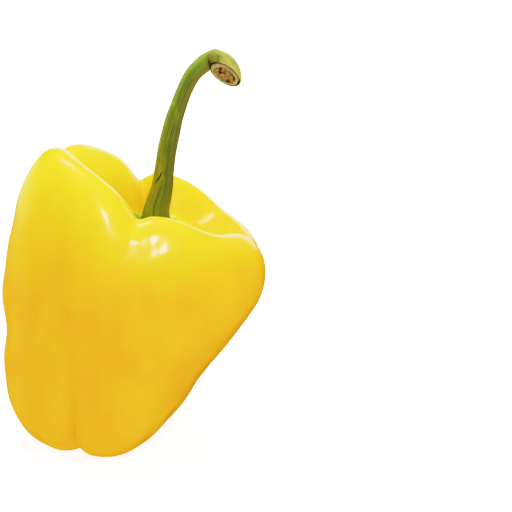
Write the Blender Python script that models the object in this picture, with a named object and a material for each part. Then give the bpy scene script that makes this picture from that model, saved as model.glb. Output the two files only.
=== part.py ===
"""A bell pepper, picked with its stem and standing on the tips of its lobes.

The fruit is one solid with four lobes. A green calyx lies in the hollow between its shoulders, the stem
rises from the calyx and hooks over, and a dry corky scar closes the stem's free end.

Units are metres, +Z is up, and +Y points away from the side that is usually seen. The origin is on the
surface that the fruit stands on, in the middle of its outline. Angles are in degrees, counted from +X
towards +Y, so that 270 faces the viewer.
"""
import math
from collections import namedtuple

import bmesh
import bpy
import numpy as np
from mathutils import Vector

# Where the core of the fruit runs: from the blossom end, up and to the right, to the calyx
BLOSSOM_END = (-0.0122, 0.0025, 0.0080)
CALYX_CENTRE = (0.0063, 0.0025, 0.0760)

# One outline of the fruit, down its outer side: each pair is how far out from the core, and how high.
# The outlines are guides, and the skin runs smoothly just inside them.
Rib = namedtuple("Rib", "name azimuth crest shoulder belly waist foot_out foot_bulge")
RIBS = [
    Rib("front left", 211, (0.037, 0.111), (0.051, 0.092), (0.052, 0.058), (0.043, 0.030), 0.020, 0.0135),
    Rib("front", 280, (0.031, 0.088), (0.045, 0.072), (0.045, 0.046), (0.0365, 0.024), 0.020, 0.013),
    Rib("right", 333, (0.034, 0.073), (0.0475, 0.060), (0.0395, 0.042), (0.030, 0.022), 0.014, 0.012),
    Rib("rear right", 68, (0.028, 0.0865), (0.039, 0.071), (0.041, 0.047), (0.035, 0.026), 0.020, 0.013),
    Rib("rear left", 146, (0.033, 0.1035), (0.046, 0.085), (0.048, 0.056), (0.041, 0.030), 0.023, 0.013),
]
RIB_GRIP = 5.0  # how closely the skin keeps to the nearest rib

# The furrows between the lobes: how far each one sinks the crest, and draws in the shoulder, belly and foot
Furrow = namedtuple("Furrow", "name azimuth crest_sink shoulder_in belly_in foot_in")
FURROWS = [
    Furrow("front", 254, 0.010, 0.002, 0.001, 0.006),
    Furrow("right", 6, 0.005, 0.003, 0.001, 0.006),
    Furrow("slight one in the rear right lobe", 33, 0.005, 0.0015, 0.0, 0.0),
    Furrow("rear", 100, 0.009, 0.005, 0.002, 0.006),
    Furrow("left", 172, 0.012, 0.005, 0.0015, 0.006),
]

# A shallow slanting hollow round the left side, under the tallest shoulder
HOLLOW_AZIMUTH = 200
HOLLOW_HEIGHT = 0.046
HOLLOW_DEPTH = 0.0022
HOLLOW_HALF_ANGLE = 26
HOLLOW_HALF_HEIGHT = 0.010
HOLLOW_RISE_PER_DEGREE = 0.00055

CALYX_REACH = 0.0118  # from the core to the edge between two teeth
CALYX_TOOTH = 0.0026  # how far a tooth stands out past that
CALYX_THICKNESS = 0.0014
CALYX_TEETH = [28, 92, 158, 205, 262, 322]
CALYX_COLLAR_OUT = 0.0052
CALYX_COLLAR_UP = 0.0034
CALYX_SEAT = 0.0070  # radius of the level seat that the stem stands on
JOINT_GAP = 0.0004  # clearance where one piece lies on another

# The stem's centre line, from the calyx to its free end, as guides just outside the curve
STEM_GUIDES = [
    (0.0072, 0.0025, 0.0802),
    (0.0072, 0.0025, 0.0842),
    (0.0108, 0.0025, 0.0930),
    (0.0118, 0.0025, 0.1020),
    (0.0137, 0.0014, 0.1106),
    (0.0161, 0.0004, 0.1192),
    (0.0187, -0.0006, 0.1260),
    (0.0213, -0.0016, 0.1315),
    (0.0252, -0.0030, 0.1362),
    (0.0312, -0.0042, 0.1378),
    (0.0345, -0.0062, 0.1342),
    (0.0336, -0.0084, 0.1306),
]
STEM_RADII = [0.0050, 0.0043, 0.0039, 0.0034, 0.0032, 0.0031, 0.0031, 0.0031, 0.0033, 0.0037, 0.0043, 0.0047]
STEM_RIDGES = 5
STEM_RIDGE_HEIGHT = 0.07  # as a share of the radius
STEM_SIDES = 20
STEM_RINGS = 36
SCAR_RADIUS = 0.0050
SCAR_THICKNESS = 0.0016

FRUIT_SEGMENTS = 72
FRUIT_RINGS = 48
CALYX_SEGMENTS = 54
CALYX_RINGS = 14


def clear_scene():
    for old in list(bpy.data.objects):
        bpy.data.objects.remove(old, do_unlink=True)


def collection_named(name):
    made = bpy.data.collections.new(name)
    bpy.context.scene.collection.children.link(made)
    return made


def plain_material(name, colour, roughness):
    made = bpy.data.materials.new(name)
    made.use_nodes = True
    shader = made.node_tree.nodes["Principled BSDF"]
    shader.inputs["Base Color"].default_value = (*colour, 1.0)
    shader.inputs["Roughness"].default_value = roughness
    shader.inputs["Metallic"].default_value = 0.0
    return made


def object_from(bm, name, material, collection):
    """Turns a bmesh into a smooth-shaded object."""
    bmesh.ops.recalc_face_normals(bm, faces=bm.faces)
    mesh = bpy.data.meshes.new(name)
    bm.to_mesh(mesh)
    bm.free()
    mesh.materials.append(material)
    mesh.shade_smooth()
    made = bpy.data.objects.new(name, mesh)
    collection.objects.link(made)
    return made


def turn_from(azimuth, centre):
    """Degrees from centre to azimuth, the short way round. Azimuth is in radians."""
    return np.degrees(np.angle(np.exp(1j * (azimuth - math.radians(centre)))))


def between_ribs(azimuth, values):
    """The ribs' values blended smoothly round the fruit, each fading away from its own rib."""
    centres = np.radians([rib.azimuth for rib in RIBS])
    weights = np.exp(RIB_GRIP * (np.cos(azimuth[..., None] - centres) - 1))
    return (weights * np.array(values)).sum(-1) / weights.sum(-1)


def furrowed(azimuth, depths, half_angle, rounding):
    """The sum of the furrows: each is deepest on its own azimuth and fades exponentially to both sides."""
    total = np.zeros_like(azimuth)
    for furrow, depth in zip(FURROWS, depths):
        away = np.hypot(turn_from(azimuth, furrow.azimuth), rounding) - rounding
        total += depth * np.exp(-away / half_angle)
    return total


def skin_guides(azimuth):
    """Guide points down the fruit's outside at each azimuth, from the calyx to the blossom end.

    Returns how far out from the core and how high they are, as two arrays of guides by azimuths.
    """
    crest_out, crest_up = (between_ribs(azimuth, [rib.crest[k] for rib in RIBS]) for k in (0, 1))
    shoulder_out, shoulder_up = (between_ribs(azimuth, [rib.shoulder[k] for rib in RIBS]) for k in (0, 1))
    belly_out, belly_up = (between_ribs(azimuth, [rib.belly[k] for rib in RIBS]) for k in (0, 1))
    waist_out, waist_up = (between_ribs(azimuth, [rib.waist[k] for rib in RIBS]) for k in (0, 1))
    foot_out = between_ribs(azimuth, [rib.foot_out for rib in RIBS])
    foot_side = foot_out + between_ribs(azimuth, [rib.foot_bulge for rib in RIBS])
    sink = furrowed(azimuth, [furrow.crest_sink for furrow in FURROWS], 16, 3)
    shoulder_in = furrowed(azimuth, [furrow.shoulder_in for furrow in FURROWS], 14, 3)
    belly_in = furrowed(azimuth, [furrow.belly_in for furrow in FURROWS], 22, 6)
    foot_in = furrowed(azimuth, [furrow.foot_in for furrow in FURROWS], 12, 3)
    level = np.zeros_like(azimuth)
    floor = CALYX_CENTRE[2]
    guides = [
        (level, level + floor),
        (level + 0.008, level + floor),
        (level + 0.013, level + floor + 0.001),
        (crest_out - 0.012 - 0.3 * shoulder_in, crest_up - 0.004 - sink),
        (crest_out - 0.5 * shoulder_in, crest_up + 0.004 - sink),
        (shoulder_out - shoulder_in, shoulder_up - 0.5 * sink),
        (belly_out - belly_in, belly_up),
        (waist_out - 0.5 * belly_in - 0.5 * foot_in, waist_up),
        (foot_side - foot_in, level + 0.009 + 0.3 * foot_in),
        (foot_out - 0.5 * foot_in, level - 0.0042 + 0.6 * foot_in),
        (0.4 * foot_out, level + 0.003 + 0.3 * foot_in),
        (level, level + BLOSSOM_END[2]),
    ]
    return np.stack([out for out, up in guides]), np.stack([up for out, up in guides])


def along_guides(rows, share):
    """A uniform cubic B-spline down the rows, read at share: 0 is the first row and 1 the last."""
    place = share * (len(rows) - 3)
    first = np.minimum(place.astype(int), len(rows) - 4)
    f = place - first
    weights = ((1 - f) ** 3, 3 * f**3 - 6 * f**2 + 4, -3 * f**3 + 3 * f**2 + 3 * f + 1, f**3)
    column = np.arange(rows.shape[1])
    return sum(weight * rows[first + k, column] for k, weight in enumerate(weights)) / 6


def core_at(height):
    """The core's x and y at a height: it leans over as it climbs, most steeply half way up."""
    share = np.clip(height / CALYX_CENTRE[2], 0, 1.1)
    share = 0.5 * share + 0.5 * share**2 * (3 - 2 * share)
    return [a + (b - a) * share for a, b in zip(BLOSSOM_END[:2], CALYX_CENTRE[:2])]


def skin(azimuth, share):
    """Points on the fruit's skin. Share is 0 at the calyx and 1 at the blossom end."""
    out, up = skin_guides(azimuth)
    # The guides pass through the core to the other side, which keeps the skin level at both poles.
    out = np.concatenate([-out[1:2], out, -out[-2:-1]])
    up = np.concatenate([up[1:2], up, up[-2:-1]])
    radius, height = along_guides(out, share), along_guides(up, share)
    sideways = turn_from(azimuth, HOLLOW_AZIMUTH)
    above = height - HOLLOW_HEIGHT - HOLLOW_RISE_PER_DEGREE * sideways
    fade = np.exp(-((sideways / HOLLOW_HALF_ANGLE) ** 2) - (above / HOLLOW_HALF_HEIGHT) ** 2)
    outside = 1 / (1 + np.exp(-3 * (share * (len(out) - 3) - 4.5)))
    radius = radius - outside * HOLLOW_DEPTH * fade
    x, y = core_at(height)
    return np.stack([x + radius * np.cos(azimuth), y + radius * np.sin(azimuth), np.maximum(height, 0)], -1)


def build_fruit(material, collection):
    """A sphere whose every vertex is moved to the same azimuth and share of the skin."""
    bm = bmesh.new()
    bmesh.ops.create_uvsphere(bm, u_segments=FRUIT_SEGMENTS, v_segments=FRUIT_RINGS, radius=1)
    ball = np.array([v.co for v in bm.verts])
    azimuth = np.arctan2(ball[:, 1], ball[:, 0])
    share = np.arccos(np.clip(ball[:, 2], -1, 1)) / math.pi
    for vertex, place in zip(bm.verts, skin(azimuth, share)):
        vertex.co = place
    return object_from(bm, "fruit", material, collection)


def hollow_floor(azimuth, radius):
    """Height of the hollow under the calyx, at a distance from the core, as a share search down the skin."""
    shares = np.linspace(0, 0.35, 60)
    heights = np.empty_like(radius)
    for k, (angle, reach) in enumerate(zip(azimuth, radius)):
        points = skin(np.full_like(shares, angle), shares)
        away = np.hypot(points[:, 0] - CALYX_CENTRE[0], points[:, 1] - CALYX_CENTRE[1])
        rising = np.maximum.accumulate(away)
        heights[k] = np.interp(reach, rising, points[:, 2])
    return heights


def calyx_edge(azimuth):
    """How far out the calyx reaches: a round pad with a pointed tooth on each of its ribs."""
    teeth = sum(np.exp(-np.abs(turn_from(azimuth, tooth)) / 9) for tooth in CALYX_TEETH)
    return CALYX_REACH + CALYX_TOOTH * teeth


def build_calyx(material, collection):
    """A sphere pressed flat: its lower half follows the hollow's floor, its upper half carries the collar."""
    bm = bmesh.new()
    bmesh.ops.create_uvsphere(bm, u_segments=CALYX_SEGMENTS, v_segments=CALYX_RINGS, radius=1)
    ball = np.array([v.co for v in bm.verts])
    azimuth = np.arctan2(ball[:, 1], ball[:, 0])
    across = np.clip(np.hypot(ball[:, 0], ball[:, 1]), 0, 1)
    radius = across * calyx_edge(azimuth)
    floor = hollow_floor(azimuth, radius) + JOINT_GAP
    rib = sum(np.exp(-((turn_from(azimuth, tooth) / 11) ** 2)) for tooth in CALYX_TEETH)
    body = CALYX_THICKNESS * (0.75 + 0.35 * rib) * np.sqrt(np.clip(1 - across**6, 0, 1))
    collar = CALYX_COLLAR_UP / (1 + (radius / CALYX_COLLAR_OUT) ** 4)
    upper = ball[:, 2] > 1e-6
    top = floor + body + collar
    # The stem stands on a level seat in the middle of the collar.
    top = np.where(radius < CALYX_SEAT, np.minimum(top, STEM_GUIDES[0][2] - JOINT_GAP), top)
    for vertex, r, a, z in zip(bm.verts, radius, azimuth, np.where(upper, top, floor)):
        vertex.co = (CALYX_CENTRE[0] + r * math.cos(a), CALYX_CENTRE[1] + r * math.sin(a), z)
    return object_from(bm, "calyx", material, collection)


def stem_line(share):
    """A point on the stem's centre line and its radius there. Share is 0 at the calyx and 1 at the free end."""
    rows = np.column_stack([np.array(STEM_GUIDES), STEM_RADII])
    rows = np.vstack([2 * rows[0] - rows[1], rows, 2 * rows[-1] - rows[-2]])
    read = along_guides(rows, np.full(rows.shape[1], share))
    return Vector(read[:3]), read[3]


def ridge_section(collection):
    """The stem's cross-section as a closed flat curve of radius 1, with a low ridge for each rib of the calyx."""
    curve = bpy.data.curves.new("stem_section", "CURVE")
    curve.dimensions = "2D"
    spline = curve.splines.new("POLY")
    spline.points.add(STEM_SIDES - 1)
    for k, point in enumerate(spline.points):
        angle = 2 * math.pi * k / STEM_SIDES
        reach = 1 + STEM_RIDGE_HEIGHT * math.cos(STEM_RIDGES * angle)
        point.co = (reach * math.cos(angle), reach * math.sin(angle), 0, 1)
    spline.use_cyclic_u = True
    section = bpy.data.objects.new("stem_section", curve)
    section.hide_render = True
    section.display_type = "WIRE"
    collection.objects.link(section)
    return section


def build_stem(material, collection, guides):
    """The ridged section carried along the stem's centre line, and swollen at its free end."""
    curve = bpy.data.curves.new("stem_line", "CURVE")
    curve.dimensions = "3D"
    curve.bevel_mode = "OBJECT"
    curve.bevel_object = ridge_section(guides)
    curve.use_fill_caps = True
    spline = curve.splines.new("POLY")
    spline.points.add(STEM_RINGS - 1)
    for k, point in enumerate(spline.points):
        place, radius = stem_line(k / (STEM_RINGS - 1))
        point.co = (*place, 1)
        point.radius = radius
    line = bpy.data.objects.new("stem_line", curve)
    guides.objects.link(line)
    bpy.context.view_layer.update()
    swept = line.evaluated_get(bpy.context.evaluated_depsgraph_get())
    mesh = bpy.data.meshes.new_from_object(swept)
    bm = bmesh.new()
    bm.from_mesh(mesh)
    bmesh.ops.remove_doubles(bm, verts=bm.verts, dist=1e-5)
    bpy.data.objects.remove(line, do_unlink=True)
    return object_from(bm, "stem", material, collection)


def build_scar(material, collection):
    """The dry scar where the stem parted from the plant: a thin oval plug on the stem's end face."""
    end = stem_line(1.0)[0]
    heading = (end - stem_line(0.97)[0]).normalized()
    bm = bmesh.new()
    bmesh.ops.create_cone(
        bm, cap_ends=True, segments=24, radius1=SCAR_RADIUS, radius2=0.86 * SCAR_RADIUS, depth=SCAR_THICKNESS
    )
    scar = object_from(bm, "stem_scar", material, collection)
    scar.rotation_mode = "QUATERNION"
    scar.rotation_quaternion = heading.to_track_quat("Z", "Y")
    scar.location = end + heading * (0.5 * SCAR_THICKNESS + JOINT_GAP)
    return scar


def main():
    clear_scene()
    pepper = collection_named("bell_pepper")
    guides = collection_named("guides")
    yellow_skin = plain_material("yellow_skin", (0.87, 0.55, 0.02), 0.22)
    calyx_green = plain_material("calyx_green", (0.10, 0.20, 0.03), 0.55)
    stem_green = plain_material("stem_green", (0.20, 0.30, 0.05), 0.45)
    dry_cork = plain_material("dry_cork", (0.55, 0.45, 0.25), 0.85)
    build_fruit(yellow_skin, pepper)
    build_calyx(calyx_green, pepper)
    build_stem(stem_green, pepper, guides)
    build_scar(dry_cork, pepper)


main()
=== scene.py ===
"""The finished look of a yellow bell pepper with its green stem, standing on a pale studio floor.

Lengths are metres and angles are degrees, counted from +X towards +Y, so that 270 faces the camera.
Every shape is a formula in two parameters: one goes round the piece, the other along it.
"""
import math
from collections import namedtuple

import bmesh
import bpy
import numpy as np
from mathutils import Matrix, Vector


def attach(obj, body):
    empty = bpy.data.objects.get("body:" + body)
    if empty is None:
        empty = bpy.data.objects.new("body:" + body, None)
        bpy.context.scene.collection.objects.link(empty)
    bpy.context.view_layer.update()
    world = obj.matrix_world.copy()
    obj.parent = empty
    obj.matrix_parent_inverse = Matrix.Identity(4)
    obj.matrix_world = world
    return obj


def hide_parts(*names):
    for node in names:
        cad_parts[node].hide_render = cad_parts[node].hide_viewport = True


# The fruit's core, from the blossom end up to the calyx. It goes on leaning to CORE_TOP times that height.
BLOSSOM_END = (-0.0122, 0.0025, 0.0080)
CALYX_CENTRE = (0.0063, 0.0025, 0.0760)
CORE_TOP = 1.1

# One outline of the fruit, down its outer side: each pair is how far out from the core, and how high
Rib = namedtuple("Rib", "name azimuth crest shoulder belly waist foot_out foot_bulge")
RIBS = [
    Rib("front left", 215, (0.0375, 0.1100), (0.0514, 0.0930), (0.0526, 0.0590),
        (0.0434, 0.0306), 0.0185, 0.0157),
    Rib("front left, inner", 243, (0.0340, 0.0985), (0.0480, 0.0810), (0.0482, 0.0516),
        (0.0394, 0.0268), 0.0190, 0.0140),
    Rib("front", 281, (0.0304, 0.0880), (0.0443, 0.0710), (0.0443, 0.0450),
        (0.0359, 0.0236), 0.0200, 0.0130),
    Rib("right", 325, (0.0342, 0.0785), (0.0480, 0.0620), (0.0400, 0.0422),
        (0.0303, 0.0220), 0.0140, 0.0120),
    Rib("far right", 30, (0.0308, 0.0755), (0.0429, 0.0640), (0.0404, 0.0450),
        (0.0328, 0.0243), 0.0174, 0.0125),
    Rib("rear right", 75, (0.0268, 0.0882), (0.0373, 0.0723), (0.0406, 0.0469),
        (0.0352, 0.0262), 0.0205, 0.0130),
    Rib("rear left, inner", 118, (0.0320, 0.0956), (0.0446, 0.0797), (0.0461, 0.0536),
        (0.0393, 0.0289), 0.0220, 0.0130),
    Rib("rear left", 155, (0.0337, 0.1045), (0.0470, 0.0863), (0.0489, 0.0566),
        (0.0406, 0.0301), 0.0227, 0.0132),
]
RIB_GRIP = 8.0

# What every outline shares: the calyx's seat and the rise at its edge, how far the crest's inner side lies in
# from its top, how round the top is, how high the foot's side is, how far the foot's guide lies under the
# floor, which leaves the foot a flat spot, and the arch between the foot and the blossom end
SEAT_RADIUS = 0.008
SEAT_EDGE_RADIUS = 0.013
SEAT_EDGE_RISE = 0.001
CREST_INSIDE = 0.012
CREST_ROUNDING = 0.004
FOOT_SIDE_HEIGHT = 0.009
FOOT_UNDER_FLOOR = 0.0038
ARCH_OUT_SHARE = 0.4
ARCH_HEIGHT = 0.003

# The outer side begins at this place among the outline's guides, over a stretch of about 1 / OUTER_SHARPNESS
OUTER_FROM = 4.5
OUTER_SHARPNESS = 3

# The furrows between the lobes: the azimuth at the crest and at the foot, how far each sinks the crest and
# over what angle, and how far it draws in the shoulder, belly and foot
Furrow = namedtuple("Furrow", "name azimuth foot_azimuth crest_sink crest_angle shoulder_in belly_in foot_in")
FURROWS = [
    Furrow("front", 261, 248, 0.0066, 8, 0.0002, 0.0005, 0.006),
    Furrow("right", 357, 352, 0.0038, 12, 0.002, 0.001, 0.006),
    Furrow("slight one in the rear right lobe", 40, 40, 0.0008, 9, 0.0006, 0.0, 0.0),
    Furrow("rear", 103, 96, 0.0084, 8, 0.0035, 0.002, 0.006),
    Furrow("left", 175, 178, 0.0050, 10, 0.005, 0.0015, 0.006),
]

# Shallow hollows: azimuth, height, half angle, half height, depth, and how much higher they lie per degree
Dent = namedtuple("Dent", "name azimuth height half_angle half_height depth rise")
DENTS = [
    Dent("under the tall shoulder", 200, 0.047, 20, 0.009, 0.0022, 0.0005),
    Dent("bend in the front left lobe", 226, 0.058, 10, 0.013, 0.0020, 0.0008),
    Dent("down the front left lobe", 230, 0.074, 7, 0.016, 0.0010, 0.0),
    Dent("flat beside the front furrow", 253, 0.0880, 7, 0.0042, 0.00036, -0.0006),
    Dent("pucker in the front shoulder", 270, 0.0824, 9.0, 0.0031, 0.00105, 0.00014),
    Dent("low on the front", 275, 0.047, 12, 0.012, 0.0005, 0.0),
]

# The skin's unevenness all over, and the fine puckers about one place below the front furrow
RIPPLE_HEIGHT = 0.00016
PUCKER_HEIGHT = 0.00009
PUCKER_AZIMUTH, PUCKER_HALF_ANGLE = 262, 24
PUCKER_CENTRE_HEIGHT, PUCKER_HALF_HEIGHT = 0.084, 0.009

# The calyx. Where the stem stands on it and where its edge is are shares of the way down the fruit's outline,
# and so is how far its teeth and its raggedness reach past the edge.
RIDGE_AZIMUTHS = [28, 92, 158, 205, 262, 322]
CALYX_INNER, CALYX_EDGE = 0.056, 0.128
TOOTH_REACH, TOOTH_HALF_ANGLE = 0.030, 10
RAGGED_REACH = 0.0022
UPTURNED_AZIMUTH, UPTURNED_HALF_ANGLE, UPTURNED_HEIGHT = 176, 38, 0.0042
CALYX_RADIUS = 0.0075
CALYX_EDGE_THICKNESS = 0.0004
CALYX_BODY_THICKNESS = 0.0006
COLLAR_FADE = 0.0022

# The stem's centre line, from the calyx to the start of its hook, as guides just outside the curve, each with
# the stem's radius there
STEM_GUIDES = [
    (0.0076, 0.0025, 0.0800, 0.0049),
    (0.0080, 0.0025, 0.0835, 0.0044),
    (0.0096, 0.0025, 0.0880, 0.0040),
    (0.0106, 0.0025, 0.0940, 0.0035),
    (0.0111, 0.0025, 0.0996, 0.0033),
    (0.0123, 0.0022, 0.1060, 0.0032),
    (0.0136, 0.0017, 0.1119, 0.0031),
    (0.0150, 0.0010, 0.1171, 0.0028),
    (0.0169, 0.0002, 0.1223, 0.0026),
    (0.0188, -0.0009, 0.1274, 0.0026),
    (0.0213, -0.0016, 0.1317, 0.0027),
    (0.0243, -0.0012, 0.1342, 0.0029),
]

# The hook at the stem's end: oval sections that swing about the inner corner of the bend, in the plane of +X
# and HOOK_UP, and tilt a little towards HOOK_NEAR's side on the way. The corner moves from its first place to
# its second. Each oval's half length lies in the plane of the bend and its half width across it.
ALONG_X = np.array([1, 0, 0])
HOOK_UP = np.array([0, 0.309, 0.951])
HOOK_NEAR = np.array([0, -0.951, 0.309])
HOOK_CORNER = np.array([[0.0266, -0.0019, 0.1318], [0.0262, -0.0011, 0.1346]])
HOOK_SWING = (133.7, -33.0)
HOOK_TILT = 28.7
HOOK_LENGTH, HOOK_LENGTH_GAIN, HOOK_LENGTH_DIP = 0.0030, 0.0031, 0.0009
HOOK_WIDTH, HOOK_WIDTH_GAIN = 0.0029, 0.0026
HOOK_CORNER_GAP = 0.0003

# The stem's own height in its relief: 0 at the calyx, 1 at the start of the hook and 1 + this at the cut face
HOOK_HEIGHT = 0.3

# The cracks up the stem's near side: a groove, a longer, shallower one beside it, and a short slanting slit
GROOVE_AZIMUTH, SHALLOW_AZIMUTH = 270, 287
SLIT_AZIMUTH, SLIT_HEIGHT = 244, 0.285

# The lip round the cork, from outside to inside: share of the stem's radius, step along it, and how dark
LIP = [
    (0.985, 0.0003, 0.0),
    (0.955, 0.0004, 0.2),
    (0.93, 0.0002, 0.5),
    (0.905, -0.0005, 1.0),
    (0.5, -0.0008, 1.0),
]

# The cork: how much of the stem's end it fills, how far it sits towards the far side, its rim's place, half
# width and height, the height of its coarse and fine pits, and its back and side, from the back to the front
CORK_FILL = 0.87
CORK_SHIFT = 0.03
CORK_RIM, CORK_RIM_HALF_WIDTH, CORK_RIM_HEIGHT = 0.86, 0.12, 0.0007
CORK_PITS, CORK_FINE_PITS = 0.00035, 0.00015
CORK_MIDDLE = -0.0002
CORK_SIDE = [(0.3, -0.0016), (0.9, -0.0016), (0.97, -0.0008), (1.0, -0.0003), (0.985, 0.0002)]

# The name of the map that runs round each piece and along it
ROUND_AND_ALONG = "round_and_along"


def around(columns):
    """Azimuths in radians, one for each column, evenly spaced."""
    return np.arange(columns) / columns * 2 * math.pi


def turn_from(azimuth, centre):
    """Degrees from centre to azimuth, the short way round. Azimuth is in radians."""
    return np.degrees(np.angle(np.exp(1j * (azimuth - math.radians(centre)))))


def smooth_step(value, low, high):
    """0 at low, 1 at high, and 3t^2 - 2t^3 between them. Low may be the larger of the two."""
    t = np.clip((value - low) / (high - low), 0, 1)
    return t * t * (3 - 2 * t)


def between_ribs(azimuth, values):
    """The ribs' values blended round the fruit, each weighted by exp(grip * (cos(angle away) - 1))."""
    centres = np.radians([rib.azimuth for rib in RIBS])
    weights = np.exp(RIB_GRIP * (np.cos(azimuth[..., None] - centres) - 1))
    return (weights * np.array(values)).sum(-1) / weights.sum(-1)


def guide_between_ribs(azimuth, guide):
    """One of the ribs' guides blended round the fruit: how far out from the core, and how high."""
    return [between_ribs(azimuth, [getattr(rib, guide)[axis] for rib in RIBS]) for axis in (0, 1)]


def furrowed(azimuth, depth, rounding, half_angle=None, down=0.0):
    """The sum of depth * exp(-angle away / half_angle) over the furrows, with the tip of each rounded.

    Down is 0 at the crest and 1 at the foot, to which each furrow turns a little.
    """
    total = np.zeros_like(azimuth)
    for furrow in FURROWS:
        centre = furrow.azimuth + (furrow.foot_azimuth - furrow.azimuth) * down
        away = np.hypot(turn_from(azimuth, centre), rounding) - rounding
        total += getattr(furrow, depth) * np.exp(-away / (half_angle or furrow.crest_angle))
    return total


def skin_guides(azimuth):
    """Guide points down the outside at each azimuth: how far out from the core, and how high.

    Each is a blend of the ribs', which the furrows draw in and down by a share of their depth.
    """
    crest_out, crest_up = guide_between_ribs(azimuth, "crest")
    shoulder_out, shoulder_up = guide_between_ribs(azimuth, "shoulder")
    belly_out, belly_up = guide_between_ribs(azimuth, "belly")
    waist_out, waist_up = guide_between_ribs(azimuth, "waist")
    foot_out = between_ribs(azimuth, [rib.foot_out for rib in RIBS])
    foot_side = foot_out + between_ribs(azimuth, [rib.foot_bulge for rib in RIBS])
    sink = furrowed(azimuth, "crest_sink", rounding=4)
    shoulder_in = furrowed(azimuth, "shoulder_in", rounding=3, half_angle=14)
    belly_in = furrowed(azimuth, "belly_in", rounding=6, half_angle=22, down=0.5)
    foot_in = furrowed(azimuth, "foot_in", rounding=1.8, half_angle=10, down=1.0)
    level = np.zeros_like(azimuth)
    seat = CALYX_CENTRE[2]
    guides = [
        (level, level + seat),
        (level + SEAT_RADIUS, level + seat),
        (level + SEAT_EDGE_RADIUS, level + seat + SEAT_EDGE_RISE),
        (crest_out - CREST_INSIDE - 0.3 * shoulder_in, crest_up - CREST_ROUNDING - sink),
        (crest_out - 0.5 * shoulder_in, crest_up + CREST_ROUNDING - sink),
        (shoulder_out - shoulder_in, shoulder_up - 0.15 * sink),
        (belly_out - belly_in, belly_up),
        (waist_out - 0.5 * belly_in - 0.5 * foot_in, waist_up),
        (foot_side - foot_in, level + FOOT_SIDE_HEIGHT + 0.3 * foot_in),
        (foot_out - 0.3 * foot_in, level - FOOT_UNDER_FLOOR + 0.35 * foot_in),
        (ARCH_OUT_SHARE * foot_out, level + ARCH_HEIGHT + 0.3 * foot_in),
        (level, level + BLOSSOM_END[2]),
    ]
    return np.stack([out for out, up in guides]), np.stack([up for out, up in guides])


def along_guides(rows, share):
    """A uniform cubic B-spline down the rows, read at each share: 0 is the first row and 1 the last."""
    place = share * (len(rows) - 3)
    first = np.minimum(place.astype(int), len(rows) - 4)
    f = (place - first)[:, None]
    weights = ((1 - f) ** 3, 3 * f**3 - 6 * f**2 + 4, -3 * f**3 + 3 * f**2 + 3 * f + 1, f**3)
    return sum(weight * rows[first + k] for k, weight in enumerate(weights)) / 6


def ripples(azimuth, height):
    """The skin's slight unevenness: two pairs of crossed waves a centimetre or two long, and fine puckers.

    The puckers fade as exp(-(angle away / half angle)^2 - (height away / half height)^2).
    """
    slow = np.sin(9 * azimuth + 150 * height + 1.0) * np.sin(4 * azimuth - 210 * height)
    slow += 0.7 * np.sin(14 * azimuth - 90 * height + 2.0) * np.sin(5 * azimuth + 330 * height + 0.6)
    fine = np.sin(31 * azimuth + 420 * height) * np.sin(17 * azimuth - 560 * height + 1.1)
    fine += 0.6 * np.sin(53 * azimuth - 760 * height) * np.sin(29 * azimuth + 880 * height + 0.4)
    sideways = turn_from(azimuth, PUCKER_AZIMUTH) / PUCKER_HALF_ANGLE
    above = (height - PUCKER_CENTRE_HEIGHT) / PUCKER_HALF_HEIGHT
    return RIPPLE_HEIGHT * slow + PUCKER_HEIGHT * np.exp(-(sideways**2) - above**2) * fine


def skin(azimuth, share):
    """The fruit's skin as rows of shares by columns of azimuths.

    Each column is a B-spline down its guides, turned about a core that leans over as it climbs. On the outer
    side, hollows draw it in by depth * exp(-(angle / half angle)^2 - (height / half height)^2). Nothing
    goes below the floor, so the feet are flat there.
    """
    out, up = skin_guides(azimuth)
    out = np.concatenate([-out[1:2], out, -out[-2:-1]])
    up = np.concatenate([up[1:2], up, up[-2:-1]])
    radius, height = along_guides(out, share), along_guides(up, share)
    place = share[:, None] * (len(out) - 3)
    outer_side = 1 / (1 + np.exp(-OUTER_SHARPNESS * (place - OUTER_FROM)))
    for dent in DENTS:
        sideways = turn_from(azimuth, dent.azimuth)
        above = height - dent.height - dent.rise * sideways
        radius = radius - outer_side * dent.depth * np.exp(
            -((sideways / dent.half_angle) ** 2) - (above / dent.half_height) ** 2
        )
    radius = radius + outer_side * ripples(azimuth, height)
    climb = np.clip(height / CALYX_CENTRE[2], 0, CORE_TOP)
    lean = 0.5 * climb + 0.5 * climb**2 * (3 - 2 * climb)
    x, y = (low + (high - low) * lean for low, high in zip(BLOSSOM_END[:2], CALYX_CENTRE[:2]))
    return np.stack([x + radius * np.cos(azimuth), y + radius * np.sin(azimuth), np.maximum(height, 0)], -1)


def skin_at(azimuth, share, reach=0.3, steps=60):
    """One point of the skin for each pair of azimuth and share, where no share is past the reach."""
    rows = skin(azimuth, np.linspace(0, reach, steps + 1))
    place = share / reach * steps
    first = np.minimum(place.astype(int), steps - 1)
    beyond = (place - first)[:, None]
    column = np.arange(len(azimuth))
    return rows[first, column] * (1 - beyond) + rows[first + 1, column] * beyond


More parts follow.
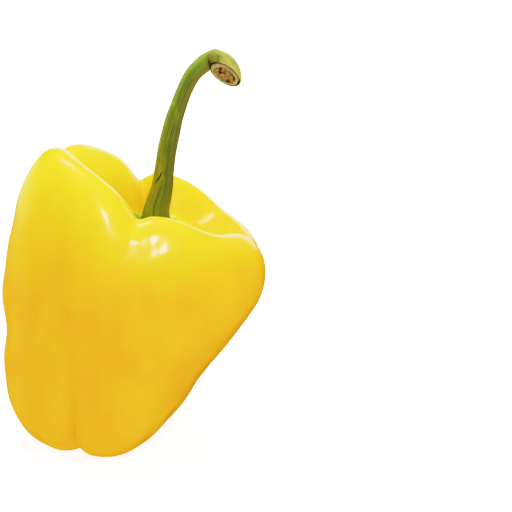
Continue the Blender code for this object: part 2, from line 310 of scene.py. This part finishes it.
def surface_mesh(name, points, **marks):
    """A closed piece from rows of rings: quads between the rings and a fan at each end.

    Every ring runs round the piece and joins up with itself. U goes round and V along the rings. Marks are
    amounts from 0 to 1 at each point, which the finish reads by their names.
    """
    rows, columns = points.shape[:2]
    vertices = np.concatenate([points.reshape(-1, 3), [points[0].mean(0), points[-1].mean(0)]])
    i, j = np.meshgrid(np.arange(rows - 1), np.arange(columns), indexing="ij")
    following = (j + 1) % columns
    quads = np.stack([i * columns + j, i * columns + following,
                      (i + 1) * columns + following, (i + 1) * columns + j], -1).reshape(-1, 4)
    ring = np.arange(columns)
    ahead = (ring + 1) % columns
    first, last = rows * columns, rows * columns + 1
    start = np.stack([np.full(columns, first), ahead, ring], -1)
    stop = np.stack([np.full(columns, last), (rows - 1) * columns + ring, (rows - 1) * columns + ahead], -1)
    corners = np.concatenate([quads.ravel(), start.ravel(), stop.ravel()])
    sizes = np.concatenate([np.full(len(quads), 4), np.full(2 * columns, 3)])
    starts = np.concatenate([[0], np.cumsum(sizes)[:-1]])

    mesh = bpy.data.meshes.new(name)
    mesh.vertices.add(len(vertices))
    mesh.vertices.foreach_set("co", vertices.ravel())
    mesh.loops.add(len(corners))
    mesh.loops.foreach_set("vertex_index", corners)
    mesh.polygons.add(len(sizes))
    mesh.polygons.foreach_set("loop_start", starts)
    mesh.polygons.foreach_set("loop_total", sizes)

    v = np.arange(rows) / (rows - 1)
    left, right = j / columns, (j + 1) / columns
    quad_uv = np.stack([np.stack([left, v[i]], -1), np.stack([right, v[i]], -1),
                        np.stack([right, v[i + 1]], -1), np.stack([left, v[i + 1]], -1)], -2).reshape(-1, 2)
    here, there = ring / columns, (ring + 1) / columns
    low, high = np.zeros(columns), np.ones(columns)
    start_uv = np.stack([np.stack([here, low], -1), np.stack([there, low], -1),
                         np.stack([here, low], -1)], -2).reshape(-1, 2)
    stop_uv = np.stack([np.stack([here, high], -1), np.stack([here, high], -1),
                        np.stack([there, high], -1)], -2).reshape(-1, 2)
    uv = np.concatenate([quad_uv, start_uv, stop_uv])
    mesh.uv_layers.new(name=ROUND_AND_ALONG).data.foreach_set("uv", uv.ravel())
    for mark, amounts in marks.items():
        values = np.concatenate([amounts.ravel(), [amounts[0].mean(), amounts[-1].mean()]])
        mesh.attributes.new(mark, "FLOAT", "POINT").data.foreach_set("value", values)
    mesh.update(calc_edges=True)
    mesh.validate()
    mesh.shade_smooth()
    made = bpy.data.objects.new(name, mesh)
    bpy.context.scene.collection.objects.link(made)
    return made


def stem_sections(share):
    """Centres and two half axes of the stem's sections, from the calyx to the start of the hook.

    The centre and radius are a B-spline along the guides. The first half axis lies in the plane of the bend,
    on its inner side, and at the calyx it points to +X.
    """
    rows = np.array(STEM_GUIDES)
    rows = np.vstack([2 * rows[0] - rows[1], rows, 2 * rows[-1] - rows[-2]])
    read = along_guides(rows, share)
    before = along_guides(rows, np.maximum(share - 1e-3, 0))
    after = along_guides(rows, np.minimum(share + 1e-3, 1))
    heading = (after - before)[:, :3]
    heading /= np.linalg.norm(heading, axis=1, keepdims=True)
    inner = np.cross(-HOOK_NEAR, heading)
    inner /= np.linalg.norm(inner, axis=1, keepdims=True)
    radius = read[:, 3:]
    return read[:, :3], radius * inner, radius * np.cross(heading, inner)


def hook_sections(share):
    """Centres and two half axes of the hook's sections, from the stem to the cut face.

    The half length is a start plus a gain times share^2.5, less a dip on the way, and the half width is a
    start plus a gain times share^2. Both the swing and the tilt grow evenly with the share.
    """
    swing = np.radians(HOOK_SWING[0] + (HOOK_SWING[1] - HOOK_SWING[0]) * share)[:, None]
    tilt = np.radians(HOOK_TILT * share)[:, None]
    out = np.cos(swing) * ALONG_X + np.sin(swing) * HOOK_UP
    behind = np.cos(swing) * HOOK_UP - np.sin(swing) * ALONG_X
    dip = smooth_step(share, 0, 0.35) * smooth_step(share, 1, 0.5)
    length = (HOOK_LENGTH + HOOK_LENGTH_GAIN * share**2.5 - HOOK_LENGTH_DIP * dip)[:, None]
    width = (HOOK_WIDTH + HOOK_WIDTH_GAIN * share**2)[:, None]
    moved = smooth_step(share, 0, 0.42)[:, None]
    corner = HOOK_CORNER[0] + (HOOK_CORNER[1] - HOOK_CORNER[0]) * moved
    across = np.cos(tilt) * HOOK_NEAR + np.sin(tilt) * behind
    return corner + (length + HOOK_CORNER_GAP) * out, -length * out, -width * across


def facing(inner, far):
    """The direction that an oval with these two half axes faces."""
    normal = np.cross(inner, far)
    return normal / np.linalg.norm(normal)


def ridge(azimuth, half_angle):
    """1 on each of the six ridges, fading as exp(-(angle away / half_angle)^2)."""
    return sum(np.exp(-((turn_from(azimuth, centre) / half_angle) ** 2)) for centre in RIDGE_AZIMUTHS)


def calyx_rings(azimuth):
    """Rings from the middle of the calyx's underside out to its toothed edge, then back in over its top.

    The calyx is the fruit's own skin, raised by its thickness and by lift * across^4 towards its edge, and on
    its upturned side by a half sine wave too. Each tooth runs out as exp(-angle away / half angle) and the
    upturned side fades as exp(-(angle away / half angle)^2). The collar rises to the stem as
    exp(-distance / fade).
    """
    tooth = sum(np.exp(-np.abs(turn_from(azimuth, centre)) / TOOTH_HALF_ANGLE) for centre in RIDGE_AZIMUTHS)
    tooth = tooth * (0.45 - 0.55 * np.cos(azimuth))
    upturned = np.exp(-((turn_from(azimuth, UPTURNED_AZIMUTH) / UPTURNED_HALF_ANGLE) ** 2))
    ragged = 0.5 * np.sin(azimuth * 23 + 1.3) + 0.5 * np.sin(azimuth * 37 + 0.4)
    edge = CALYX_EDGE + TOOTH_REACH * tooth + RAGGED_REACH * ragged
    lift = 0.0022 * tooth + 0.0012 * upturned + 0.0006 * np.sin(azimuth * 11) + 0.0003 * ragged
    body = CALYX_BODY_THICKNESS * (1 + ridge(azimuth, 12)) + 0.00012 * np.sin(azimuth * 29 + 0.7)
    offset = np.array(STEM_GUIDES[0][:2]) - np.array(CALYX_CENTRE[:2])

    def ring(across, thickness):
        place = skin_at(azimuth, CALYX_INNER + (edge - CALYX_INNER) * across)
        place[:, :2] += offset * (1 - across)
        place[:, 2] += thickness + lift * across**4 + UPTURNED_HEIGHT * upturned * math.sin(math.pi * across)
        return place

    rings = [ring(across, -0.0003 if across < 0.7 else 0.0001) for across in np.linspace(0.05, 1, 8)]
    for across in np.concatenate([np.linspace(1.0, 0.9, 5), np.linspace(0.86, 0, 22)]):
        place = ring(across, CALYX_EDGE_THICKNESS + body * (1 - across**3))
        collar = STEM_GUIDES[0][2] - place[:, 2]
        place[:, 2] += collar * np.exp(-CALYX_RADIUS * across / COLLAR_FADE)
        rings.append(place)
    return rings


def stem_relief(azimuth, height):
    """How far the stem's surface stands out, against its half axes, and how much of it is cracked.

    Six rounded ridges turn slowly as they climb, strongest at the calyx and faint in the hook. Between them
    run fine lines and slow swellings, both sine waves. The groove wavers as it climbs. Each of the cracks
    fades sideways as exp(-(angle away / half angle)^2).
    """
    near_base = np.exp(-height / 0.12)
    near_tip = smooth_step(height, 0.9, 1.2)
    angle = azimuth - 0.7 * np.minimum(height, 1)
    ridges = (0.09 + 0.07 * near_base - 0.075 * near_tip) * (ridge(angle, 16) - 0.6)
    fine = 0.5 * np.sin(angle * 31) + 0.5 * np.sin(angle * 47 + 2)
    swelling = 0.012 * np.sin(3 * azimuth + 40 * height) * (1 - near_tip)
    lip = 0.02 * np.exp(-(((height - 1.27) / 0.03) ** 2))
    waver = turn_from(azimuth, GROOVE_AZIMUTH) + 8 * np.sin(height * 14) + 25 * height
    groove = np.exp(-((waver / 3.5) ** 2)) * smooth_step(height, 0.34, 0.22)
    shallow = np.exp(-((turn_from(azimuth, SHALLOW_AZIMUTH) / 3) ** 2)) * smooth_step(height, 0.3, 0.45)
    shallow = shallow * smooth_step(height, 1.0, 0.8) * (0.75 + 0.25 * np.sin(60 * height))
    above_slit = height - SLIT_HEIGHT
    slant = turn_from(azimuth, SLIT_AZIMUTH) - 500 * above_slit
    slit = np.exp(-((slant / 5) ** 2) - (above_slit / 0.034) ** 4)
    relief = 1 + ridges + 0.008 * fine + swelling + lip - 0.04 * groove - 0.03 * shallow - 0.11 * slit
    return relief, np.maximum(np.maximum(0.6 * groove, 0.65 * shallow), slit)


def stem_and_calyx(columns=192):
    """The stem with the calyx that it grows from, as one skin.

    After the calyx's rings come the stem's: its sections, with each point's distance from the centre times
    the relief. The last few run round the lip and a little way in behind the cork.
    """
    azimuth = around(columns)
    rings = calyx_rings(azimuth)
    cracks = [np.zeros((len(rings), columns))]

    stem_share, hook_share = np.linspace(0.004, 1, 190), np.linspace(0.015, 1, 70)
    sections = zip(stem_sections(stem_share), hook_sections(hook_share))
    centre, inner, far = (np.concatenate(pair) for pair in sections)
    height = np.concatenate([stem_share, 1 + HOOK_HEIGHT * hook_share])[:, None]
    relief, stem_cracks = stem_relief(azimuth[None, :], height)
    spoke = np.cos(azimuth)[None, :, None] * inner[:, None] + np.sin(azimuth)[None, :, None] * far[:, None]
    stem = centre[:, None] + relief[..., None] * spoke
    rings.extend(stem)
    cracks.append(stem_cracks)

    forward = facing(inner[-1], far[-1])
    for share, step, dark in LIP:
        rings.append(centre[-1] + (stem[-1] - centre[-1]) * share + forward * step)
        cracks.append(np.full((1, columns), dark))
    return surface_mesh("stem_and_calyx", np.array(rings), cracks=np.concatenate(cracks))


def scar(columns=128):
    """The corky plug in the stem's end: an uneven oval, a little to the far side, with a raised rim.

    Its face rises at the rim as exp(-((share of the radius - rim) / half width)^2), and inside the rim
    products of sine waves pit it.
    """
    azimuth = around(columns)
    centre, inner, far = (value[-1] for value in hook_sections(np.array([1.0])))
    forward = facing(inner, far)
    centre = centre + CORK_SHIFT * far
    outline = CORK_FILL * (1 + 0.02 * np.sin(azimuth * 5 + 1) + 0.015 * np.sin(azimuth * 9 + 2))
    spoke = outline[:, None] * (np.cos(azimuth)[:, None] * inner + np.sin(azimuth)[:, None] * far)
    rings = [(share, np.full(columns, step)) for share, step in CORK_SIDE]
    for share in np.linspace(0.95, 0.02, 48):
        rim = np.exp(-(((share - CORK_RIM) / CORK_RIM_HALF_WIDTH) ** 2)) if share < CORK_RIM else 1.0
        x, y = share * np.cos(azimuth), share * np.sin(azimuth)
        pits = np.sin(9 * x + 2.1 * np.sin(7 * y)) * np.sin(8 * y + 1.7 * np.sin(9 * x) + 0.8)
        fine = np.sin(23 * x + 3 * np.sin(19 * y)) * np.sin(21 * y + 1.1)
        inside = smooth_step(0.9 - share, 0.0, 0.25)
        step = CORK_MIDDLE + CORK_RIM_HEIGHT * rim + inside * (CORK_PITS * pits + CORK_FINE_PITS * fine)
        rings.append((share, step))
    points = [centre + spoke * share + step[:, None] * forward for share, step in rings]
    return surface_mesh("stem_scar_face", np.array(points))


class Value:
    """A number or vector inside a material. Plain operators add the nodes that work it out."""

    def __init__(self, finish, socket):
        self.finish = finish
        self.socket = socket

    def _with(self, operation, *inputs, clamp=False):
        settings = {"operation": operation, "use_clamp": clamp}
        node = self.finish.node("ShaderNodeMath", settings, dict(enumerate(inputs)))
        return Value(self.finish, node.outputs[0])

    def __add__(self, other):
        return self._with("ADD", self, other)

    __radd__ = __add__

    def __sub__(self, other):
        return self._with("SUBTRACT", self, other)

    def __rsub__(self, other):
        return self._with("SUBTRACT", other, self)

    def __mul__(self, other):
        return self._with("MULTIPLY", self, other)

    __rmul__ = __mul__

    def clamped(self):
        return self._with("ADD", self, 0.0, clamp=True)

    def sine(self):
        return self._with("SINE", self)

    def cosine(self):
        return self._with("COSINE", self)

    def rise(self, low, high):
        """0 at low, 1 at high and smooth between them. High may be the smaller one."""
        settings = {"interpolation_type": "SMOOTHSTEP"}
        start, stop = (low, high) if low < high else (high, low)
        ends = (0.0, 1.0) if low < high else (1.0, 0.0)
        node = self.finish.node("ShaderNodeMapRange", settings, {
            "Value": self, "From Min": start, "From Max": stop, "To Min": ends[0], "To Max": ends[1],
        })
        return Value(self.finish, node.outputs["Result"])


class Finish:
    """A material: its Principled shader, and a way to add any other node."""

    def __init__(self, name, **constants):
        self.material = bpy.data.materials.new(name)
        self.material.use_nodes = True
        self.tree = self.material.node_tree
        self.shader = self.tree.nodes["Principled BSDF"]
        for socket, value in constants.items():
            self.shader.inputs[socket.replace("_", " ")].default_value = value

    def node(self, kind, settings=None, sockets=None):
        made = self.tree.nodes.new(kind)
        for name, value in (settings or {}).items():
            setattr(made, name, value)
        for name, value in (sockets or {}).items():
            self.put(made.inputs[name], value)
        return made

    def put(self, socket, value):
        if isinstance(value, Value):
            self.tree.links.new(value.socket, socket)
        elif isinstance(value, bpy.types.NodeSocket):
            self.tree.links.new(value, socket)
        else:
            socket.default_value = value

    def feed(self, name, value):
        self.put(self.shader.inputs[name], value)

    def place(self, scale=(1, 1, 1)):
        """Object coordinates, scaled along each axis."""
        where = self.node("ShaderNodeTexCoord").outputs["Object"]
        scaled = self.node("ShaderNodeVectorMath", {"operation": "MULTIPLY"}, {0: where, 1: scale})
        return scaled.outputs[0]

    def part(self, vector, axis):
        return Value(self, self.node("ShaderNodeSeparateXYZ", None, {0: vector}).outputs[axis])

    def join(self, x, y, z):
        return self.node("ShaderNodeCombineXYZ", None, {0: x, 1: y, 2: z}).outputs[0]

    def round_and_along(self):
        """The angle round the piece, in radians, and the share of the way along it."""
        uv = self.node("ShaderNodeUVMap", {"uv_map": ROUND_AND_ALONG}).outputs["UV"]
        return self.part(uv, 0) * (2 * math.pi), self.part(uv, 1)

    def mark(self, name):
        """An amount that the piece's mesh carries at each of its points."""
        return Value(self, self.node("ShaderNodeAttribute", {"attribute_name": name}).outputs["Fac"])

    def distance(self, point):
        where = self.node("ShaderNodeTexCoord").outputs["Object"]
        node = self.node("ShaderNodeVectorMath", {"operation": "DISTANCE"}, {0: where, 1: point})
        return Value(self, node.outputs["Value"])

    def noise(self, vector, scale, detail=2.0, roughness=0.5):
        node = self.node("ShaderNodeTexNoise", None, {
            "Vector": vector, "Scale": scale, "Detail": detail, "Roughness": roughness,
        })
        return Value(self, node.outputs["Fac"])

    def mix(self, share, low, high):
        node = self.node("ShaderNodeMix", {"data_type": "RGBA"}, {0: share, 6: low, 7: high})
        return node.outputs[2]

    def bump(self, height, distance, strength):
        sockets = {"Height": height, "Distance": distance, "Strength": strength}
        self.feed("Normal", self.node("ShaderNodeBump", None, sockets).outputs["Normal"])


def rgb(red, green, blue):
    return (red, green, blue, 1.0)


def skin_finish():
    """Glossy waxed yellow skin, lemon on the shoulders (partly its own tone, partly painted light from above)
    and deeper below, green by the calyx.

    Soft mottling and upright streaks vary the yellow, and the blossom end is brown and dull.
    """
    finish = Finish(
        "yellow_skin_glossy",
        Subsurface_Weight=0.35,
        Subsurface_Radius=(1.0, 0.45, 0.08),
        Subsurface_Scale=0.004,
        IOR=1.45,
        Coat_Roughness=0.11,
        Specular_IOR_Level=0.3,
    )
    deep_yellow = rgb(0.86, 0.355, 0.034)
    lemon = rgb(0.90, 0.545, 0.042)
    young_green = rgb(0.62, 0.60, 0.03)
    blossom_brown = rgb(0.22, 0.13, 0.05)
    place = finish.place()
    mottle = finish.noise(place, 55, 3)
    streaks = finish.noise(finish.place((140, 140, 18)), 1.0, 3)
    # Painted light: paler towards the top, partly the skin's own lemon tone and partly light from above
    # painted in.
    shoulder = finish.part(place, 2).rise(0.057, 0.100)
    paleness_and_painted_top_light = (shoulder * 0.7 + (mottle - 0.5) * 0.6 + (streaks - 0.5) * 0.45 + 0.15).clamped()
    colour = finish.mix(paleness_and_painted_top_light, deep_yellow, lemon)
    near_calyx = finish.distance(CALYX_CENTRE).rise(0.017, 0.011)
    colour = finish.mix(near_calyx * 0.5, colour, young_green)
    blossom = (finish.distance(BLOSSOM_END) + (finish.noise(place, 900) - 0.5) * 0.002).rise(0.0030, 0.0018)
    finish.feed("Base Color", finish.mix(blossom, colour, blossom_brown))
    finish.feed("Roughness", 0.33 + (finish.noise(place, 120, 2) - 0.5) * 0.06 + blossom * 0.4)
    finish.feed("Coat Weight", 0.25 - blossom * 0.25)
    pores = finish.noise(place, 1500, 2)
    waves = finish.noise(place, 90, 2)
    finish.bump(pores * 0.04 + waves, 0.00012, 0.35)
    return finish.material


def stem_finish():
    """Green ridged stem with fine lines along it, brownish down one side with painted bounce light there
    towards the top, and olive in the hook.

    Yellow patches are scattered over it, its left side is painted paler as if lit, its foot fresher green,
    and its cracks dark.
    """
    finish = Finish("stem_green_ridged", IOR=1.42, Coat_Roughness=0.3, Subsurface_Weight=0.1,
                    Subsurface_Radius=(0.5, 0.8, 0.2), Subsurface_Scale=0.0015)
    dark_green = rgb(0.070, 0.108, 0.026)
    light_green = rgb(0.245, 0.315, 0.076)
    yellow_patch = rgb(0.42, 0.44, 0.040)
    low_brown = rgb(0.18, 0.145, 0.038)
    painted_bounce_brown = rgb(0.36, 0.28, 0.060)
    painted_lit_left_green = rgb(0.33, 0.40, 0.060)
    fresh_green = rgb(0.20, 0.30, 0.055)
    olive = rgb(0.41, 0.355, 0.115)
    crack_brown = rgb(0.040, 0.030, 0.008)
    angle, along = finish.round_and_along()
    ring_place = finish.join(angle.sine() * 14, (angle + math.pi / 2).sine() * 14, along * 3)
    lines = finish.noise(ring_place, 1.0, 4, 0.7)
    patches = finish.noise(finish.place((1, 1, 0.35)), 260, 3)
    colour = finish.mix(lines.rise(0.35, 0.68), dark_green, light_green)
    colour = finish.mix(patches.rise(0.5, 0.75) * 0.4, colour, yellow_patch)
    brown_side = (angle - math.radians(335)).cosine().rise(0.45, 1.0) * along.rise(0.86, 0.7)
    # The brown side is painted brighter towards the top: painted light, standing in for light thrown up from
    # below.
    brown = finish.mix(along.rise(0.45, 0.75), low_brown, painted_bounce_brown)
    colour = finish.mix(brown_side * (0.3 + lines * 0.4), colour, brown)
    # Painted light: the left side is painted paler and yellower, as if lit.
    painted_light_left = (angle - math.radians(200)).cosine().rise(0.1, 0.9)
    colour = finish.mix(painted_light_left * 0.35, colour, painted_lit_left_green)
    colour = finish.mix(along.rise(0.33, 0.15) * 0.5, colour, fresh_green)
    hook = along.rise(0.78, 0.95) * patches.rise(0.25, 0.55)
    colour = finish.mix(hook * 0.8, colour, olive)
    finish.feed("Base Color", finish.mix(finish.mark("cracks").clamped() * 0.85, colour, crack_brown))
    finish.feed("Roughness", 0.42 + (patches - 0.5) * 0.2)
    finish.bump(lines, 0.0004, 0.6)
    return finish.material


def scar_finish():
    """Dry tan cork with brown pits, and a pale rim that is widest on one side."""
    finish = Finish("dry_cork_pitted", Roughness=0.85)
    brown_cork = rgb(0.27, 0.185, 0.070)
    tan_cork = rgb(0.48, 0.365, 0.165)
    pit_brown = rgb(0.16, 0.075, 0.025)
    dark_rim = rgb(0.30, 0.28, 0.14)
    pale_rim = rgb(0.52, 0.49, 0.27)
    place = finish.place()
    grain = finish.noise(place, 700, 4, 0.7)
    pits = finish.noise(place, 420, 2, 0.5)
    angle, along = finish.round_and_along()
    wide_side = (angle - math.radians(300)).cosine().rise(-0.2, 1.0)
    rim = (along - wide_side * 0.26).rise(0.30, 0.16)
    colour = finish.mix(grain.rise(0.3, 0.7), brown_cork, tan_cork)
    colour = finish.mix(pits.rise(0.42, 0.35) * (1.0 - rim * 0.8), colour, pit_brown)
    finish.feed("Base Color", finish.mix(rim * 0.85, colour, finish.mix(grain, dark_rim, pale_rim)))
    finish.bump(grain, 0.0004, 0.8)
    return finish.material


def outward(piece):
    """Turns every face to point out of the closed piece."""
    bm = bmesh.new()
    bm.from_mesh(piece.data)
    bmesh.ops.recalc_face_normals(bm, faces=bm.faces)
    bm.to_mesh(piece.data)
    bm.free()


def dress(piece, finish, slot, *nodes):
    piece.data.materials.append(finish)
    outward(piece)
    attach(piece, "root")
    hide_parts(*nodes)


def fruit_skin(columns=384, rows=250):
    return surface_mesh("fruit_skin", skin(around(columns), np.linspace(0.002, 0.998, rows)))


def make_pepper():
    dress(fruit_skin(), skin_finish(), "yellow_skin", "fruit")
    dress(stem_and_calyx(), stem_finish(), "stem_green", "stem", "calyx")
    dress(scar(), scar_finish(), "dry_cork", "stem_scar")


AIM = Vector((0.04185, 0.0025, 0.066))
CAMERA_DISTANCE = 0.75
CAMERA_ELEVATION = 18
LENS, SENSOR_WIDTH = 153.5, 36

FLOOR_HALF_WIDTH = 3.0
PAPER_GLOW = 1.15

# The room's light: even from above, and brighter from below, as a white table throws it back. It changes
# between these two slopes of the view, from straight down at -1 to straight up at 1.
TABLE_GLOW, ROOM_GLOW = 1.22, 0.44
TABLE_SLOPE, ROOM_SLOPE = -0.3, 0.2

# Soft lights: where each stands and what it points to, its size, its watts, and whether the gloss mirrors it
Softbox = namedtuple("Softbox", "name place target width height watts mirrored")
SOFTBOXES = [
    Softbox("overhead", (-0.02, 0.12, 0.85), (0, 0, 0.05), 0.7, 0.7, 4.2, False),
    Softbox("back_top", (-0.10, 0.34, 0.80), (0, 0, 0.08), 0.36, 0.20, 1.3, True),
    Softbox("key", (0.55, -0.50, 0.95), (0, 0, 0.06), 0.5, 0.5, 3.4, False),
    Softbox("small_key", (0.33, -0.61, 0.824), (0, 0, 0.08), 0.17, 0.18, 3.0, True),
    Softbox("rim", (0.50, 0.85, 0.62), (0, 0, 0.08), 0.6, 0.35, 1.1, False),
    Softbox("backdrop_glow", (0.22, 1.03, 0.22), (0, 0, 0.08), 1.0, 0.4, 1.5, True),
    Softbox("left_glow", (-0.75, 0.75, 0.10), (0, 0, 0.05), 0.9, 0.4, 0.6, True),
    Softbox("left_back", (-0.80, 0.67, 0.20), (0, 0, 0.05), 0.9, 0.5, 6.5, False),
    Softbox("low_fill", (-0.1, -1.1, 0.15), (0, 0, 0.04), 0.9, 0.5, 0.8, False),
    Softbox("table_left", (-0.80, 0.40, -0.30), (-0.02, 0, 0.03), 0.8, 0.5, 3.2, False),
]

# How the camera's film answers to light: full white at FILM_WHITE, with a short toe and a long shoulder. Each
# pair is a light and how it is shown.
FILM_WHITE = 1.9
FILM_RESPONSE = [
    (0.05, 0.018), (0.20, 0.20), (0.41, 0.515), (0.68, 0.75), (0.91, 0.835), (1.15, 0.875), (1.5, 0.935),
]
ALL_COLOURS_CURVE = 3


def make_camera():
    camera = bpy.data.objects.new("camera", bpy.data.cameras.new("camera"))
    bpy.context.scene.collection.objects.link(camera)
    tilt = math.radians(CAMERA_ELEVATION)
    camera.location = AIM + CAMERA_DISTANCE * Vector((0, -math.cos(tilt), math.sin(tilt)))
    camera.rotation_euler = (math.pi / 2 - tilt, 0, 0)
    camera.data.sensor_width = SENSOR_WIDTH
    camera.data.lens = LENS
    camera.data.clip_start = 0.01
    bpy.context.scene.camera = camera


def make_floor():
    """White paper that shines a little by itself, and neither lights, shades nor mirrors the pepper."""
    half = FLOOR_HALF_WIDTH
    corners = [(-half, -half, 0), (half, -half, 0), (half, half, 0), (-half, half, 0)]
    mesh = bpy.data.meshes.new("floor")
    mesh.from_pydata(corners, [], [(0, 1, 2, 3)])
    floor = bpy.data.objects.new("floor", mesh)
    bpy.context.scene.collection.objects.link(floor)
    paper = Finish("white_paper", Base_Color=rgb(0.95, 0.95, 0.95), Roughness=0.9,
                   Emission_Strength=PAPER_GLOW, Emission_Color=rgb(1, 1, 1))
    mesh.materials.append(paper.material)
    floor.visible_glossy = False
    floor.visible_diffuse = False
    floor.visible_shadow = False


def light_room():
    world = bpy.data.worlds.new("studio")
    bpy.context.scene.world = world
    world.use_nodes = True
    nodes, links = world.node_tree.nodes, world.node_tree.links
    height = nodes.new("ShaderNodeSeparateXYZ")
    links.new(nodes.new("ShaderNodeTexCoord").outputs["Generated"], height.inputs[0])
    strength = nodes.new("ShaderNodeMapRange")
    strength.interpolation_type = "SMOOTHSTEP"
    ends = {"From Min": TABLE_SLOPE, "From Max": ROOM_SLOPE, "To Min": TABLE_GLOW, "To Max": ROOM_GLOW}
    for name, value in ends.items():
        strength.inputs[name].default_value = value
    links.new(height.outputs["Z"], strength.inputs["Value"])
    links.new(strength.outputs["Result"], nodes["Background"].inputs["Strength"])
    nodes["Background"].inputs["Color"].default_value = rgb(1, 1, 1)
    world.cycles_visibility.glossy = False


def hang_softbox(box):
    data = bpy.data.lights.new(box.name, "AREA")
    data.shape = "ELLIPSE"
    data.size = box.width
    data.size_y = box.height
    data.energy = box.watts
    light = bpy.data.objects.new(box.name, data)
    light.location = box.place
    light.rotation_euler = (Vector(box.target) - Vector(box.place)).to_track_quat("-Z", "Y").to_euler()
    light.visible_glossy = box.mirrored
    bpy.context.scene.collection.objects.link(light)


def load_film():
    film = bpy.context.scene.view_settings
    film.view_transform = "Standard"
    film.look = "None"
    film.exposure = 0
    film.gamma = 1
    film.use_curve_mapping = True
    response = film.curve_mapping
    response.white_level = (FILM_WHITE, FILM_WHITE, FILM_WHITE)
    curve = response.curves[ALL_COLOURS_CURVE]
    curve.points[0].location = (0, 0)
    curve.points[1].location = (1, 1)
    for light, shown in FILM_RESPONSE:
        curve.points.new(light / FILM_WHITE, shown)
    response.update()


def make_studio():
    make_floor()
    light_room()
    for box in SOFTBOXES:
        hang_softbox(box)
    load_film()


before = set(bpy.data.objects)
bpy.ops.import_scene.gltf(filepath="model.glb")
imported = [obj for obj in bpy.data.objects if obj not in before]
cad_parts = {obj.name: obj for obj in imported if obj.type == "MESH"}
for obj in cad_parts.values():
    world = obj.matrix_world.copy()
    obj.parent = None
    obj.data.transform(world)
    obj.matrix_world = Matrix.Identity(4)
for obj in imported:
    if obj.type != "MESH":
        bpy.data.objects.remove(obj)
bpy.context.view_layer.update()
make_camera()
make_studio()
make_pepper()
